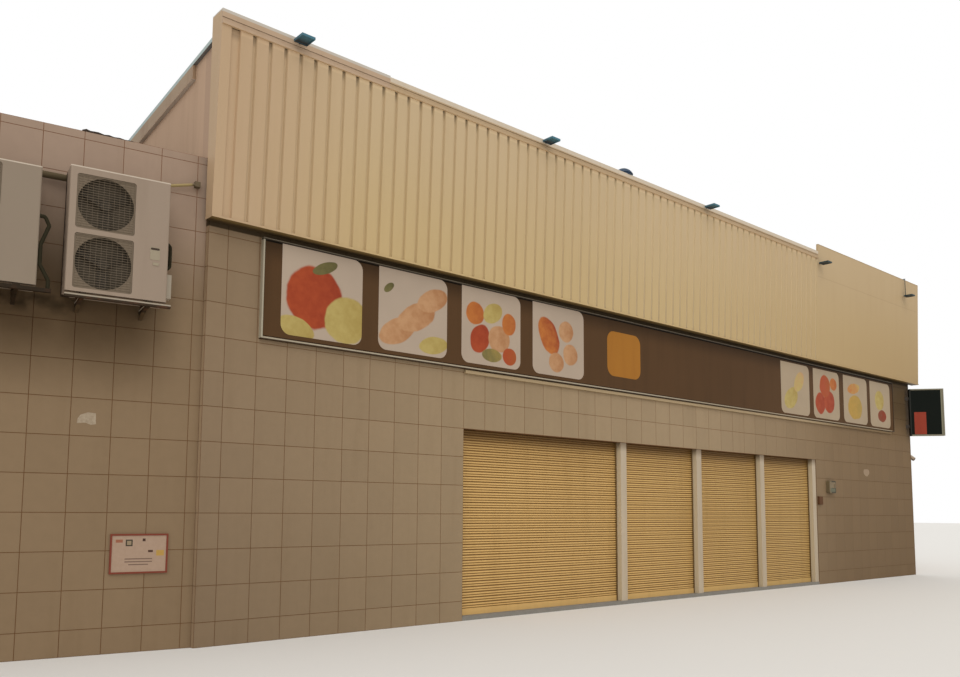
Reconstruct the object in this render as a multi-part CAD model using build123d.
from build123d import *
from math import cos, radians, sin, tan
import os

os.makedirs("parts", exist_ok=True)

# A single-storey supermarket: a tiled hall with a row of roller shutters, a ribbed metal
# fascia over a long sign board, and a lower wing that turns back along the street.
# Millimetres. X runs along the front to the right, the front faces -Y, the ground is Z = 0.
# The origin lies on the ground at the middle of the hall.

# Hall
hall_length = 18730.0
hall_depth = 14000.0
wall = 250.0
floor_thickness = 60.0
tile = 400.0
end_tile = 240.0

# Shutter opening: it starts on a tile line, and a post stands at the right of each bay
tiles_before_opening = 9
bay_widths = (3450.0, 2010.0, 2010.0, 1930.0)
post_width = 150.0
post_depth = 120.0
post_setback = 10.0
lintel_height = 2670.0

# Shutters: slats that bulge outwards, a bottom bar, and a channel at each edge
curtain_setback = 110.0
curtain_thickness = 20.0
slat_pitch = 65.0
slat_bulge = 11.0
slat_edge_drop = 2.5
bottom_bar_height = 90.0
bottom_bar_thickness = 34.0
guide_width = 30.0
guide_depth = 46.0
guide_metal = 4.0
guide_hold = 16.0

# Roof: ribbed panels on one slope that falls to the back
roof_top_at_front = 6990.0
roof_angle = 7.8
roof_thickness = 50.0
roof_rib_pitch = 333.0
roof_rib_height = 32.0
roof_rib_foot = 90.0
roof_rib_top = 40.0
roof_side_overhang = 44.0
roof_back_overhang = 70.0
verge_height = 175.0
verge_setback = 530.0

# Gutter and downpipes at the back
gutter_width = 130.0
gutter_height = 110.0
gutter_metal = 6.0
downpipe_radius = 45.0
downpipe_inset = 600.0

# Ribbed fascia: it leans out a little towards its top
fascia_bottom = 4800.0
fascia_left_overhang = 44.0
fascia_right_overhang = 210.0
fascia_depth_bottom = 170.0
fascia_depth_top = 255.0
ribbed_length = 13784.0
sheet_thickness = 45.0
rib_pitch = 204.4
groove_depth = 28.0
groove_mouth = 54.0
groove_bottom = 34.0
corner_flashing_width = 120.0
corner_recess_width = 108.0

# Cap over the ribs, and the higher plain part at the right
fascia_rise = 232.0
plain_rise = 160.0
cap_height = 84.0
cap_recess_height = 50.0
cap_ledge_height = 32.0
cap_sleeve_length = 2350.0
cap_sleeve_rise = 16.0
cap_plate = 15.0
cap_front_overlap = 8.0
ledge_overlap = 20.0

# Soffit, back sheet and rails that carry the fascia
soffit_plate = 15.0
soffit_lip_height = 24.0
soffit_lip_thickness = 10.0
lip_clearance = 2.0
back_sheet = 20.0
rail_height = 60.0
rail_inset = 300.0

# Sign board under the fascia
sign_left_margin = 660.0
sign_right_margin = 1040.0
sign_bottom = 3517.0
sign_height = 1223.0
sign_depth = 60.0
sign_frame_width = 20.0
sign_board_depth = 50.0
sign_ledge_height = 45.0
sign_ledge_depth = 40.0
sign_ledge_gap = 15.0
sign_ledge_margin = 100.0

# Wing
wing_turn = 9.0
wing_setback = 66.0
wing_end_strip = 120.0
wing_tiles = 12
wing_wall = 200.0
wing_depth = 6000.0
wing_height = 5560.0
wing_roof_top = 5300.0
wing_roof_thickness = 160.0

# Air conditioning units on the wing, measured from each unit's right foot
unit_width = 985.0
unit_depth = 350.0
unit_gap = 110.0
unit_corner = 18.0
unit_1_along = 1745.0
unit_1_foot = 3705.0
unit_1_height = 1210.0
unit_1_fan_radius = 205.0
unit_1_fan_inset = 415.0
unit_1_lower_fan = 400.0
unit_1_upper_fan = 960.0
unit_1_rail_overhang = 135.0
unit_2_along = 505.0
unit_2_foot = 3695.0
unit_2_height = 1305.0
unit_2_fan_radius = 272.0
unit_2_fan_inset = 350.0
unit_2_lower_fan = 322.0
unit_2_upper_fan = 944.0
unit_2_rail_overhang = 45.0

# Fans and the slotted guards over them
throat_depth = 120.0
fan_setback = 40.0
fan_clearance = 18.0
hub_radius = 55.0
blade_chord = 110.0
blade_metal = 4.0
blade_pitch = 30.0
guard_margin = 13.0
guard_recess = 14.0
guard_plate = 8.0
guard_corner = 28.0
guard_rim = 20.0
guard_clearance = 1.0
slot_pitch = 26.0
slot_height = 16.0
slot_bar = 14.0

# Wall brackets, lagged pipes and the conduit of the units
bracket_steel = 38.0
bracket_rail_depth = 45.0
bracket_drop = 110.0
bracket_inset = 170.0
brace_start = 240.0
foot_width = 60.0
foot_depth = 45.0
foot_height = 22.0
pipe_radius = 19.0
hose_setback = 28.0
hose_share = 0.605
hose_bends = ((0, 1.0), (48, 1.0), (90, 0.88), (21, 0.6), (21, 0.33), (104, 0.12), (104, 0))
loop_top = 4380.0
loop_bottom = 4100.0
loop_reach = 55.0
bundle_radius = 35.0
bundle_height = 4975.0
bundle_overlap = 150.0
valve_width = 70.0
valve_depth = 100.0
valve_height = 260.0
valve_foot = 75.0
conduit_radius = 16.0
conduit_rise = 95.0
clamp_size = 60.0
clamp_along = 130.0
clamp_height = 5200.0

# Floodlights: a row at one pitch, on the cap or on a rod from the plain part's top
lamp_first = 945.0
lamp_pitch = 4286.0
lamps_on_cap = 3
lamps_on_face = 1
lamp_width = 180.0
lamp_reach = 205.0
lamp_body = 22.0
lamp_rim = 14.0
lamp_rim_height = 9.0
lamp_gap = 27.0
lamp_on_cap_drop = 34.0
lamp_on_plain_drop = 420.0
lamp_arm = 20.0
rod_radius = 8.0

# Beacon on the cap
beacon_offset = 7270.0
beacon_radius = 165.0
beacon_dome = 105.0
beacon_base = 30.0

# Light box that stands out from the right end of the front
blade_inset = 160.0
blade_gap = 70.0
blade_angle = 52.0
blade_reach = 805.0
blade_bottom = 3470.0
blade_height = 1190.0
blade_thickness = 120.0
blade_frame = 32.0
blade_face_recess = 8.0
blade_arm = 40.0
blade_arm_inset = 240.0

# Meter box, alarm box, camera and notice board
box_offset = 425.0
box_width = 290.0
box_foot = 1955.0
box_height = 270.0
box_depth = 80.0
box_corner = 35.0
box_window = 180.0
box_window_height = 90.0
box_window_middle = 162.0
box_window_recess = 8.0
alarm_offset = 25.0
alarm_width = 160.0
alarm_foot = 1700.0
alarm_height = 175.0
alarm_depth = 50.0
alarm_bevel = 8.0
camera_over_lintel = 330.0
camera_inset = 40.0
camera_plate = 25.0
camera_plate_side = 120.0
camera_stem = 35.0
camera_reach = 95.0
camera_forward = 72.0
camera_length = 210.0
camera_radius = 48.0
camera_tilt = 38.0
notice_along = 287.0
notice_width = 590.0
notice_foot = 825.0
notice_height = 420.0
notice_depth = 25.0
notice_border = 18.0
notice_recess = 8.0

# Positions that follow from the sizes above
hall_left = -hall_length / 2
hall_right = hall_length / 2
front = -hall_depth / 2
back = hall_depth / 2
tile_zero = hall_left + end_tile
opening_left = tile_zero + tiles_before_opening * tile
opening_right = opening_left + sum(bay_widths) + post_width * len(bay_widths)
roof_slope = tan(radians(roof_angle))
fascia_left = hall_left - fascia_left_overhang
fascia_right = hall_right + fascia_right_overhang
ribbed_right = fascia_left + ribbed_length
cap_top = roof_top_at_front + fascia_rise
plain_top = cap_top + plain_rise
cap_underside = cap_top - cap_height - cap_recess_height - cap_ledge_height
sheet_bottom = fascia_bottom + soffit_plate
lean = (fascia_depth_top - fascia_depth_bottom) / (cap_underside - fascia_bottom)
curtain_front = front + curtain_setback
curtain_middle = curtain_front + curtain_thickness / 2
unit_reach = unit_gap + unit_depth


def save(shape, node):
    shape.label = node
    export_step(shape, f"parts/{node}.step")


def block(x0, x1, y0, y1, z0, z1):
    return Pos((x0 + x1) / 2, (y0 + y1) / 2, (z0 + z1) / 2) * Box(x1 - x0, y1 - y0, z1 - z0)


def side_profile(points, x0, x1):
    """A profile given as (y, z) points, carried along the front from x0 to x1."""
    face = Plane.YZ * make_face(Polyline(*points, close=True))
    return Pos(x0, 0, 0) * extrude(face, x1 - x0)


def plan(points, z0, z1):
    """An outline given as (x, y) points, raised from z0 to z1."""
    return Pos(0, 0, z0) * extrude(make_face(Polyline(*points, close=True)), z1 - z0)


def roof_under(y):
    """Height of the roof panels' underside at a distance back from the front."""
    return roof_top_at_front - roof_thickness - (y - front) * roof_slope


def fascia_front(z):
    """Y of the leaning sheet's front face at height z."""
    return front - fascia_depth_bottom - (z - fascia_bottom) * lean


def leaning_sheet(points, z0, z1):
    """An outline of (x, depth behind the sheet's face) that follows the lean upwards."""
    outline = [(x, fascia_front(z0) + depth) for x, depth in points]
    face = Pos(0, 0, z0) * make_face(Polyline(*outline, close=True))
    return extrude(face, (z1 - z0) * (1 + lean ** 2) ** 0.5, dir=(0, -lean, 1))


def leaning_strip(x0, x1, z0, z1):
    strip = [(x0, 0), (x1, 0), (x1, sheet_thickness), (x0, sheet_thickness)]
    return leaning_sheet(strip, z0, z1)


def hall_walls():
    low = lintel_height
    save(block(hall_left, opening_left, front, front + wall, 0, low), "front_wall_left")
    save(block(opening_right, hall_right, front, front + wall, 0, low), "front_wall_right")
    upper = [
        (front, low),
        (front + wall, low),
        (front + wall, roof_under(front + wall)),
        (front, roof_under(front)),
    ]
    save(side_profile(upper, hall_left, hall_right), "front_wall_upper")
    y0, y1 = front + wall, back - wall
    side = [(y0, 0), (y1, 0), (y1, roof_under(y1)), (y0, roof_under(y0))]
    save(side_profile(side, hall_left, hall_left + wall), "side_wall_left")
    save(side_profile(side, hall_right - wall, hall_right), "side_wall_right")
    rear = [(y1, 0), (back, 0), (back, roof_under(back)), (y1, roof_under(y1))]
    save(side_profile(rear, hall_left, hall_right), "back_wall")


def hall_floor():
    inner = block(hall_left + wall, hall_right - wall, front + wall, back - wall, 0, floor_thickness)
    sill = block(opening_left, opening_right, front, front + wall, 0, floor_thickness)
    save(inner + sill, "floor_slab")


def roof():
    """Panels with trapezoid ribs, drawn across the front and carried down the slope."""
    left, right = hall_left - roof_side_overhang, hall_right + roof_side_overhang
    under, pan = roof_under(front), roof_top_at_front
    ribs = int((right - left) / roof_rib_pitch)
    first = (left + right) / 2 - (ribs - 1) / 2 * roof_rib_pitch
    points = [(right, pan), (right, under), (left, under), (left, pan)]
    for index in range(ribs):
        middle = first + index * roof_rib_pitch
        points += [
            (middle - roof_rib_foot / 2, pan),
            (middle - roof_rib_top / 2, pan + roof_rib_height),
            (middle + roof_rib_top / 2, pan + roof_rib_height),
            (middle + roof_rib_foot / 2, pan),
        ]
    run = hall_depth + roof_back_overhang
    face = Pos(0, front, 0) * (Plane.XZ * make_face(Polyline(*points, close=True)))
    save(extrude(face, run * (1 + roof_slope ** 2) ** 0.5, dir=(0, 1, -roof_slope)), "roof_sheet")
    start = front + verge_setback
    board = [
        (start, roof_under(start) - verge_height),
        (back, roof_under(back) - verge_height),
        (back, roof_under(back)),
        (start, roof_under(start)),
    ]
    boards = [side_profile(board, left, hall_left), side_profile(board, hall_right, right)]
    save(Compound(children=boards), "verge_boards")


def drainage():
    top = roof_under(back + gutter_width)
    low = top - gutter_height
    outer = block(hall_left, hall_right, back, back + gutter_width, low, top)
    inside = block(
        hall_left + gutter_metal,
        hall_right - gutter_metal,
        back + gutter_metal,
        back + gutter_width - gutter_metal,
        low + gutter_metal,
        top,
    )
    save(outer - inside, "back_gutter")
    pipe = Cylinder(downpipe_radius, low)
    pipes = [
        Pos(x, back + gutter_width / 2, low / 2) * pipe
        for x in (hall_left + downpipe_inset, hall_right - downpipe_inset)
    ]
    save(Compound(children=pipes), "downpipes")


def slatted_curtain(x0, x1):
    """Slats of one pitch between the bottom bar and the lintel, flat at the back."""
    low = floor_thickness + bottom_bar_height
    count = round((lintel_height - low) / slat_pitch)
    pitch = (lintel_height - low) / count
    joint = curtain_front + slat_bulge
    edge = curtain_front + slat_edge_drop
    points = [(curtain_front + curtain_thickness, low)]
    for index in range(count):
        z = low + index * pitch
        points += [
            (joint, z),
            (edge, z + pitch * 0.15),
            (curtain_front, z + pitch * 0.5),
            (edge, z + pitch * 0.9),
        ]
    points += [(joint, lintel_height), (curtain_front + curtain_thickness, lintel_height)]
    bar = block(
        x0,
        x1,
        curtain_middle - bottom_bar_thickness / 2,
        curtain_middle + bottom_bar_thickness / 2,
        floor_thickness,
        low,
    )
    return side_profile(points, x0, x1) + bar


def edge_channel(web, side):
    """A guide channel seen from above; side is 1 where it opens to the right."""
    outer = curtain_middle - guide_depth / 2
    inner = curtain_middle + guide_depth / 2
    points = [
        (web, outer),
        (web + side * guide_width, outer),
        (web + side * guide_width, outer + guide_metal),
        (web + side * guide_metal, outer + guide_metal),
        (web + side * guide_metal, inner - guide_metal),
        (web + side * guide_width, inner - guide_metal),
        (web + side * guide_width, inner),
        (web, inner),
    ]
    return plan(points, floor_thickness, lintel_height)


def shutters():
    x = opening_left
    guides = []
    posts = []
    hidden = guide_width - guide_hold
    post_front = front + post_setback
    for number, width in enumerate(bay_widths, start=1):
        save(slatted_curtain(x + hidden, x + width - hidden), f"shutter_{number}")
        guides.append(edge_channel(x, 1))
        guides.append(edge_channel(x + width, -1))
        x += width
        posts.append(
            block(x, x + post_width, post_front, post_front + post_depth, floor_thickness, lintel_height)
        )
        x += post_width
    save(Compound(children=guides), "shutter_guides")
    save(Compound(children=posts), "shutter_posts")


def ribbed_outline(x0, x1):
    """Front face with grooves at an even pitch, and a plain back."""
    points = [(x0, sheet_thickness), (x0, groove_depth), (x0 + corner_recess_width, groove_depth)]
    edge = x0 + corner_recess_width + (groove_mouth - groove_bottom) / 2
    points.append((edge, 0))
    grooves = int((x1 - edge) / rib_pitch)
    for index in range(1, grooves + 1):
        middle = edge + index * rib_pitch - groove_mouth / 2
        points += [
            (middle - groove_mouth / 2, 0),
            (middle - groove_bottom / 2, groove_depth),
            (middle + groove_bottom / 2, groove_depth),
            (middle + groove_mouth / 2, 0),
        ]
    points += [(x1, 0), (x1, sheet_thickness)]
    return points


def cap_profile(top):
    """Folded cap: a flat top, a tall front, a shadow recess and a ledge below it."""
    face = front - fascia_depth_top
    inner = face + cap_plate
    ledge_top = cap_underside + cap_ledge_height
    recess_top = ledge_top + cap_recess_height
    return [
        (front, top),
        (face - cap_front_overlap, top),
        (face - cap_front_overlap, recess_top),
        (face, recess_top),
        (face, ledge_top),
        (face - ledge_overlap, ledge_top),
        (face - ledge_overlap, cap_underside),
        (inner, cap_underside),
        (inner, top - cap_plate),
        (front, top - cap_plate),
    ]


def fascia_ends(left_strip, right_strip):
    """Side plates from the wall out to the leaning face, with flashings on the front."""
    top = plain_top - cap_plate
    inside = cap_top + cap_sleeve_rise - cap_plate
    low = [(front, sheet_bottom), (fascia_front(sheet_bottom), sheet_bottom)]
    left = [
        *low,
        (fascia_front(cap_underside), cap_underside),
        (front - fascia_depth_top + cap_plate, cap_underside),
        (front - fascia_depth_top + cap_plate, inside),
        (front, inside),
    ]
    plate = side_profile(left, fascia_left, fascia_left + soffit_plate)
    strip = leaning_strip(fascia_left, left_strip, sheet_bottom, cap_underside)
    save(plate + strip, "fascia_end_left")
    right = [
        *low,
        (fascia_front(top), top),
        (fascia_front(top) + sheet_thickness, top),
        (fascia_front(cap_top - cap_plate) + sheet_thickness, cap_top - cap_plate),
        (front, cap_top - cap_plate),
    ]
    plate = side_profile(right, fascia_right - soffit_plate, fascia_right)
    save(plate + leaning_strip(right_strip, fascia_right, sheet_bottom, top), "fascia_end_right")


def fascia_sheets(left_strip, right_strip):
    ribbed = leaning_sheet(ribbed_outline(left_strip, ribbed_right), sheet_bottom, cap_underside)
    save(ribbed, "fascia_ribbed")
    plain = leaning_strip(ribbed_right, right_strip, sheet_bottom, plain_top - cap_plate)
    save(plain, "fascia_plain")


def fascia_caps():
    sleeve_right = fascia_left + cap_sleeve_length
    sleeve = side_profile(cap_profile(cap_top + cap_sleeve_rise), fascia_left, sleeve_right)
    save(sleeve, "fascia_cap_left")
    save(side_profile(cap_profile(cap_top), sleeve_right, ribbed_right), "fascia_cap_right")
    edge = fascia_front(plain_top)
    trim = block(ribbed_right, fascia_right, edge, edge + sheet_thickness, plain_top - cap_plate, plain_top)
    lid = [
        (front, cap_top),
        (fascia_front(cap_top) + sheet_thickness, cap_top),
        (fascia_front(cap_top - cap_plate) + sheet_thickness, cap_top - cap_plate),
        (front, cap_top - cap_plate),
    ]
    lid = side_profile(lid, ribbed_right, fascia_right)
    save(Compound(children=[trim, lid]), "fascia_cap_plain")


def fascia_frame():
    """Soffit with a turned-up lip, back sheet above the roof, and two rails."""
    lip = fascia_front(fascia_bottom) - lip_clearance - soffit_lip_thickness
    lip_rise = soffit_lip_height * lean
    soffit = [
        (front, fascia_bottom),
        (lip, fascia_bottom),
        (lip - lip_rise, fascia_bottom + soffit_lip_height),
        (lip - lip_rise + soffit_lip_thickness, fascia_bottom + soffit_lip_height),
        (lip - soffit_plate * lean + soffit_lip_thickness, sheet_bottom),
        (front, sheet_bottom),
    ]
    save(side_profile(soffit, fascia_left, fascia_right), "fascia_soffit")
    low = roof_under(front) - rail_height
    y0 = front - back_sheet
    sheet = block(
        fascia_left + soffit_plate, fascia_right - soffit_plate, y0, front, low, cap_top - cap_plate
    )
    save(sheet, "fascia_back_sheet")
    rails = []
    for z in (fascia_bottom + rail_inset, roof_under(front) - rail_inset):
        rail = [
            (front, z),
            (front, z + rail_height),
            (fascia_front(z + rail_height) + sheet_thickness, z + rail_height),
            (fascia_front(z) + sheet_thickness, z),
        ]
        rails.append(side_profile(rail, hall_left, hall_right))
    save(Compound(children=rails), "fascia_rails")


def fascia():
    left_strip = fascia_left + corner_flashing_width
    right_strip = fascia_right - corner_flashing_width
    fascia_sheets(left_strip, right_strip)
    fascia_ends(left_strip, right_strip)
    fascia_caps()
    fascia_frame()


def sign():
    x0, x1 = hall_left + sign_left_margin, hall_right - sign_right_margin
    z0, z1 = sign_bottom, sign_bottom + sign_height
    edge = sign_frame_width
    board = block(x0 + edge, x1 - edge, front - sign_board_depth, front, z0 + edge, z1 - edge)
    save(board, "sign_board")
    ring = block(x0, x1, front - sign_depth, front, z0, z1)
    ring -= block(x0 + edge, x1 - edge, front - sign_depth, front, z0 + edge, z1 - edge)
    save(ring, "sign_frame")
    top = z0 - sign_ledge_gap
    ledge = block(
        opening_left, x1 - sign_ledge_margin, front - sign_ledge_depth, front, top - sign_ledge_height, top
    )
    save(ledge, "sign_ledge")


def wing_point(along, inward):
    """A point of the wing's plan: along its front from the hall, and inward from that front."""
    turn = radians(wing_turn)
    x = hall_left - along * cos(turn) + inward * sin(turn)
    y = front + wing_setback + along * sin(turn) + inward * cos(turn)
    return (x, y)


def wing_plan(corners, z0, z1):
    return plan([wing_point(along, inward) for along, inward in corners], z0, z1)


def on_wing(shape, along, inward, z):
    """Turns a shape made square to the hall so that it faces as the wing does."""
    x, y = wing_point(along, inward)
    return Pos(x, y, z) * Rot(0, 0, -wing_turn) * shape


def wing():
    length = wing_end_strip + wing_tiles * tile
    t = wing_wall
    meet = tan(radians(wing_turn))
    front_wall = [(0, 0), (length, 0), (length, t), (t * meet, t)]
    save(wing_plan(front_wall, 0, wing_height), "wing_front_wall")
    end_wall = [(length - t, t), (length, t), (length, wing_depth), (length - t, wing_depth)]
    save(wing_plan(end_wall, 0, wing_height), "wing_end_wall")
    rear = wing_depth - t
    back_wall = [
        (rear * meet, rear),
        (length - t, rear),
        (length - t, wing_depth),
        (wing_depth * meet, wing_depth),
    ]
    save(wing_plan(back_wall, 0, wing_height), "wing_back_wall")
    inside = [(t * meet, t), (length - t, t), (length - t, rear), (rear * meet, rear)]
    save(wing_plan(inside, wing_roof_top - wing_roof_thickness, wing_roof_top), "wing_roof")
    save(wing_plan(inside, 0, floor_thickness), "wing_floor")


def facing(sketch, depth):
    """A sketch that faces the street, sunk inwards by the depth."""
    return extrude(Plane.XZ * sketch, -depth)


def casing(height, fan_radius, fan_inset, fan_heights):
    """A casing with square pockets for the guards and a round throat behind each."""
    body = Pos(-unit_width / 2, unit_depth / 2, height / 2) * Box(unit_width, unit_depth, height)
    body = fillet(body.edges().filter_by(Axis.Z), unit_corner)
    side = 2 * (fan_radius + guard_margin)
    pocket = facing(RectangleRounded(side, side, guard_corner), guard_recess)
    throat = facing(Circle(fan_radius), throat_depth)
    for middle in fan_heights:
        body -= Pos(fan_inset - unit_width, 0, middle) * (pocket + throat)
    return body


def fan(radius):
    """Hub on a shaft to the back of the throat, with three pitched blades."""
    depth = throat_depth - fan_setback
    rotor = Pos(0, fan_setback, 0) * facing(Circle(hub_radius), depth)
    length = radius - fan_clearance
    for turn in (90, 210, 330):
        blade = Pos(length / 2, 0, 0) * Rot(90 + blade_pitch, 0, 0) * Box(length, blade_chord, blade_metal)
        rotor += Pos(0, fan_setback + depth / 2, 0) * Rot(0, turn, 0) * blade
    return rotor


def guard(radius):
    """A pressed plate with rows of long slots over the fan."""
    side = 2 * (radius + guard_margin - guard_clearance)
    rows = int((side - 2 * guard_rim) / slot_pitch)
    slot = (side - 2 * guard_rim - slot_bar) / 2
    plate = RectangleRounded(side, side, guard_corner - guard_clearance)
    slots = GridLocations(slot + slot_bar, slot_pitch, 2, rows) * Rectangle(slot, slot_height)
    return Pos(0, guard_recess - guard_plate, 0) * facing(plate - slots, guard_plate)


def unit_bracket(overhang):
    """Two wall plates with arms and braces, a rail along their ends, and the casing's feet."""
    steel = bracket_steel
    rail = Box(unit_width + overhang, bracket_rail_depth, steel)
    bracket = Pos((overhang - unit_width) / 2, bracket_rail_depth / 2, -steel / 2) * rail
    brace = [
        (brace_start, -steel),
        (brace_start + steel, -steel),
        (unit_reach, steel - bracket_drop),
        (unit_reach, -bracket_drop),
    ]
    for x in (-bracket_inset, bracket_inset - unit_width):
        bracket += Pos(x, unit_reach / 2, -steel / 2) * Box(steel, unit_reach, steel)
        plate = Box(steel, steel / 4, bracket_drop)
        bracket += Pos(x, unit_reach - steel / 8, -bracket_drop / 2) * plate
        bracket += side_profile(brace, x - steel / 2, x + steel / 2)
        foot = Box(foot_width, foot_depth, foot_height)
        for y in (foot_depth / 2, unit_depth - foot_depth / 2):
            bracket += Pos(x, y, foot_height / 2) * foot
    return Pos(0, 0, -foot_height) * bracket


def air_units():
    places = ((unit_1_along, unit_1_foot), (unit_2_along, unit_2_foot))
    fan_sizes = ((unit_1_fan_radius, unit_1_fan_inset), (unit_2_fan_radius, unit_2_fan_inset))
    fan_heights = ((unit_1_lower_fan, unit_1_upper_fan), (unit_2_lower_fan, unit_2_upper_fan))
    first = casing(unit_1_height, *fan_sizes[0], fan_heights[0])
    valve = Box(valve_width, valve_depth, valve_height)
    second = casing(unit_2_height, *fan_sizes[1], fan_heights[1])
    second += Pos(valve_width / 2, unit_depth / 2, valve_foot + valve_height / 2) * valve
    fans = []
    guards = []
    brackets = []
    overhangs = (unit_1_rail_overhang, unit_2_rail_overhang)
    for index, body in enumerate((first, second)):
        along, foot = places[index]
        radius, inset = fan_sizes[index]
        save(on_wing(body, along, -unit_reach, foot), f"air_unit_{index + 1}")
        for middle in fan_heights[index]:
            place = Pos(inset - unit_width, 0, middle)
            fans.append(on_wing(place * fan(radius), along, -unit_reach, foot))
            guards.append(on_wing(place * guard(radius), along, -unit_reach, foot))
        brackets.append(on_wing(unit_bracket(overhangs[index]), along, -unit_reach, foot))
    save(Compound(children=fans), "air_unit_fans")
    save(Compound(children=guards), "air_unit_guards")
    save(Compound(children=brackets), "air_unit_brackets")


def lagged_pipe(corners, bend, side, inward):
    """A lagged pipe bent through these corners, which stand beside a unit's right side."""
    path = Plane.XZ * FilletPolyline(*corners, radius=bend)
    pipe = sweep(Plane(origin=path @ 0, z_dir=path % 0) * Circle(pipe_radius), path=path)
    return on_wing(pipe, side, inward, 0)


def unit_pipes():
    """A pipe down the first unit's side to its rail, a loop at the second, and a bundle behind."""
    rail_top = unit_1_foot - foot_height
    drop = unit_1_height * hose_share
    corners = [(reach, rail_top + share * drop) for reach, share in hose_bends]
    hose = lagged_pipe(corners, 2 * pipe_radius, unit_1_along, hose_setback - unit_reach)
    loop = [(0, loop_top), (loop_reach, loop_top), (loop_reach, loop_bottom), (0, loop_bottom)]
    loop = lagged_pipe(loop, 0.9 * loop_reach, unit_2_along, unit_depth / 2 - unit_reach)
    far = unit_1_along + bundle_overlap
    near = unit_2_along + unit_width - bundle_overlap
    bundle = Pos((far - near) / 2, 0, 0) * Rot(0, 90, 0) * Cylinder(bundle_radius, far - near)
    bundle = on_wing(bundle, far, bundle_radius - unit_gap, bundle_height)
    save(Compound(children=[hose, loop, bundle]), "air_unit_pipes")


def conduit():
    """A pale tube from the right unit to a clamp on the wall."""
    inward = -unit_gap / 2
    start = (*wing_point(unit_2_along, inward), clamp_height - conduit_rise)
    line = Line(start, (*wing_point(clamp_along, inward), clamp_height))
    tube = sweep(Plane(origin=line @ 0, z_dir=line % 0) * Circle(conduit_radius), path=line)
    depth = unit_gap / 2 + conduit_radius
    clamp = Pos(0, -depth / 2, 0) * Box(clamp_size, depth, clamp_size)
    whole = tube + on_wing(clamp, clamp_along, 0, clamp_height)
    middle = Pos(-unit_width / 2, unit_depth / 2, unit_2_height / 2)
    unit = middle * Box(unit_width, unit_depth, unit_2_height)
    save(whole - on_wing(unit, unit_2_along, -unit_reach, unit_2_foot), "air_unit_conduit")


def floodlight(x, top):
    """A shallow lamp body that looks down, its bracket fixed to the face behind it."""
    wall_face = front - fascia_depth_top - cap_front_overlap
    y1 = wall_face - lamp_gap
    y0 = y1 - lamp_reach
    x0, x1 = x - lamp_width / 2, x + lamp_width / 2
    low = top - lamp_body
    body = block(x0, x1, y0, y1, low, top)
    rim = block(x0, x1, y0, y1, low - lamp_rim_height, low)
    rim -= block(x0 + lamp_rim, x1 - lamp_rim, y0 + lamp_rim, y1 - lamp_rim, low - lamp_rim_height, low)
    return body + rim


def floodlights():
    """Lamps at one pitch: the first few on the cap, the next on the plain face, the last on a rod."""
    lamps = []
    cap_face = front - fascia_depth_top - cap_front_overlap
    back_of_lamp = cap_face - lamp_gap
    for index in range(int((hall_length - lamp_first) / lamp_pitch) + 1):
        x = hall_left + lamp_first + index * lamp_pitch
        top = plain_top - lamp_on_plain_drop
        if index < lamps_on_cap:
            top = cap_top - lamp_on_cap_drop
            arm = block(x - lamp_arm / 2, x + lamp_arm / 2, back_of_lamp, cap_face, top - lamp_arm, top)
        elif index < lamps_on_cap + lamps_on_face:
            low = top - lamp_arm
            arm = [
                (back_of_lamp, low),
                (fascia_front(low), low),
                (fascia_front(top), top),
                (back_of_lamp, top),
            ]
            arm = side_profile(arm, x - lamp_arm / 2, x + lamp_arm / 2)
        else:
            y = back_of_lamp - rod_radius
            rod_top = plain_top + 2 * rod_radius
            rod = Cylinder(rod_radius, rod_top - top)
            hook = block(
                x - rod_radius, x + rod_radius, y - rod_radius, fascia_front(plain_top) + lamp_arm,
                plain_top, rod_top
            )
            arm = Pos(x, y, (rod_top + top) / 2) * rod + hook
        lamps.append(floodlight(x, top) + arm)
    save(Compound(children=lamps), "floodlights")


def beacon():
    """A low dome on a narrower foot."""
    foot = Pos(0, 0, beacon_base / 2) * Cylinder(beacon_radius * 0.9, beacon_base)
    ball = (beacon_radius**2 + beacon_dome**2) / (2 * beacon_dome)
    above = Box(2 * ball, 2 * ball, beacon_dome, align=(Align.CENTER, Align.CENTER, Align.MIN))
    dome = Pos(0, 0, beacon_dome - ball) * Sphere(ball) & above
    place = Pos(hall_left + beacon_offset, front - fascia_depth_top / 2, cap_top)
    save(place * (foot + Pos(0, 0, beacon_base) * dome), "beacon")


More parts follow.
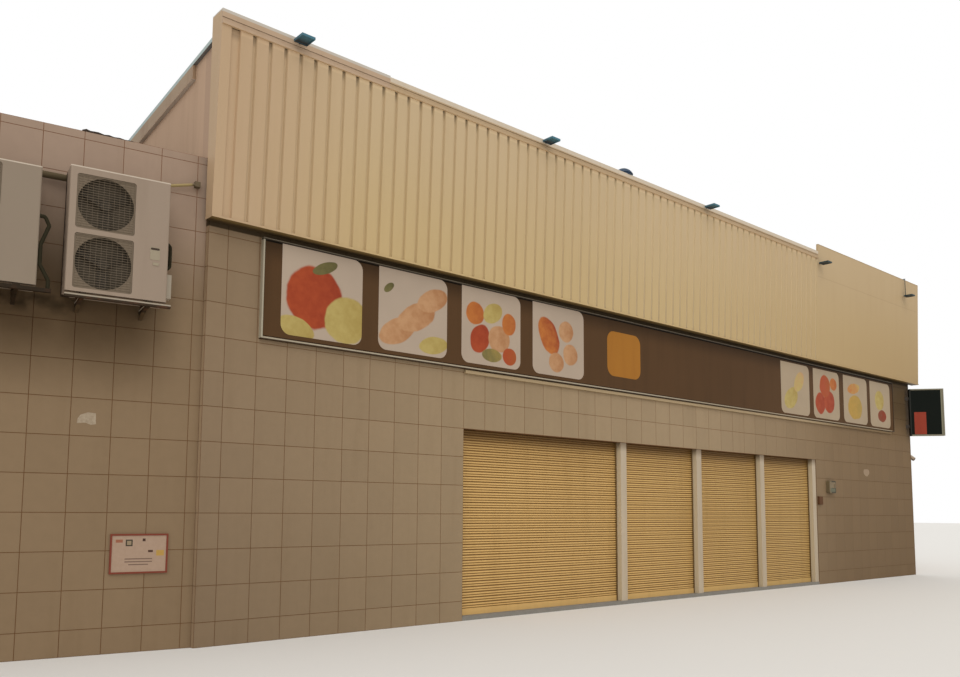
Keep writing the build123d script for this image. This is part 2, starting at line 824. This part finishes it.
def blade_sign():
    """Light box turned half along the street, in a frame on two arms."""
    place = Pos(hall_right - blade_inset, front - blade_gap, blade_bottom) * Rot(0, 0, -blade_angle)
    half = blade_thickness / 2
    ring = block(0, blade_reach, -half, half, 0, blade_height)
    edge = blade_frame
    ring -= block(edge, blade_reach - edge, -half, half, edge, blade_height - edge)
    save(place * ring, "blade_sign_frame")
    face = half - blade_face_recess
    panel = block(edge, blade_reach - edge, -face, face, edge, blade_height - edge)
    save(place * panel, "blade_sign")
    reach = blade_reach
    street_side = block(hall_right - reach, hall_right + reach, front - reach, front, 0, plain_top)
    arms = []
    for z in (blade_arm_inset, blade_height - blade_arm_inset):
        arm = block(-blade_arm * 8, 0, -blade_arm / 2, blade_arm / 2, z - blade_arm, z + blade_arm)
        arms.append(place * arm & street_side)
    save(Compound(children=arms), "blade_sign_arms")


def wall_box():
    x0 = opening_right + box_offset
    body = block(x0, x0 + box_width, front - box_depth, front, box_foot, box_foot + box_height)
    body = fillet(body.edges().filter_by(Axis.Y), box_corner)
    middle = Pos(x0 + box_width / 2, front - box_depth, box_foot + box_window_middle)
    window = Box(box_window, 2 * box_window_recess, box_window_height)
    save(body - middle * window, "wall_box")


def small_boxes():
    x0 = opening_right + alarm_offset
    alarm = block(x0, x0 + alarm_width, front - alarm_depth, front, alarm_foot, alarm_foot + alarm_height)
    save(chamfer(alarm.faces().sort_by(Axis.Y)[0].edges(), alarm_bevel), "alarm_box")


def wall_camera():
    """A round camera that looks down along the street, on a stem from a plate on the side wall."""
    half = camera_plate_side / 2
    plate = Pos(camera_plate / 2, half, 0) * Box(camera_plate, camera_plate_side, camera_plate_side)
    stem = Pos(camera_reach / 2, half, 0) * Rot(0, 90, 0) * Cylinder(camera_stem / 2, camera_reach)
    aim = Pos(camera_reach, half, 0) * Rot(camera_tilt - 90, 0, 0)
    body = aim * Pos(0, 0, -camera_forward) * Cylinder(camera_radius, camera_length)
    place = Pos(hall_right, front + camera_inset, lintel_height + camera_over_lintel)
    save(place * (plate + stem + body), "wall_camera")


def notice():
    """Framed notice board on the wing, its panel set back behind a narrow border."""
    board = Box(notice_width, notice_depth, notice_height)
    window = Box(notice_width - 2 * notice_border, notice_recess, notice_height - 2 * notice_border)
    board -= Pos(0, (notice_recess - notice_depth) / 2, 0) * window
    place = Pos(-notice_width / 2, notice_depth / 2, notice_height / 2)
    save(on_wing(place * board, notice_along, -notice_depth, notice_foot), "notice_board")


hall_walls()
hall_floor()
roof()
drainage()
shutters()
fascia()
sign()
wing()
air_units()
unit_pipes()
conduit()
floodlights()
beacon()
blade_sign()
wall_box()
small_boxes()
wall_camera()
notice()
